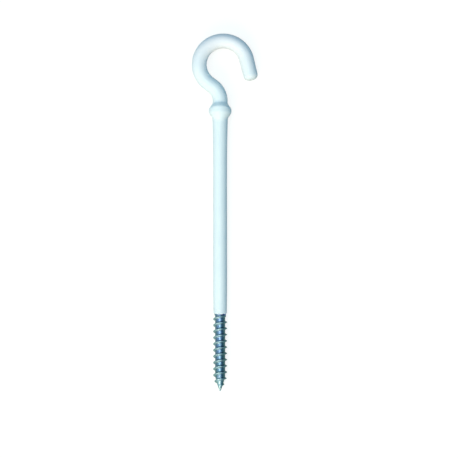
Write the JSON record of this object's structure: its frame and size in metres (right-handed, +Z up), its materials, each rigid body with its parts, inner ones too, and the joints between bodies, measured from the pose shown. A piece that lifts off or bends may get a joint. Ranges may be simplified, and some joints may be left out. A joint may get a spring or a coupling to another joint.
{
  "type": "screw hook",
  "caption": "Open screw hook of steel wire with a wood-screw thread, a collar below the hook and a white plastic coat, for hanging things from timber.",
  "frame": {"origin": "middle of the outline seen from above, on the surface that the hook lies on", "axes": "+Y from the screw point to the hook, within a degree of the shank; +X to the side of the hook's tip; +Z up from the surface"},
  "size_m": [0.0272, 0.1494, 0.0095],
  "materials": {
    "zinc_plated_steel": "bright blue zinc plating over rolled steel",
    "white_vinyl_coat": "smooth dipped coat, half gloss"
  },
  "bodies": {
    "root": {"steel_hook": "zinc_plated_steel", "plastic_coat": "white_vinyl_coat"}
  },
  "joints": []
}
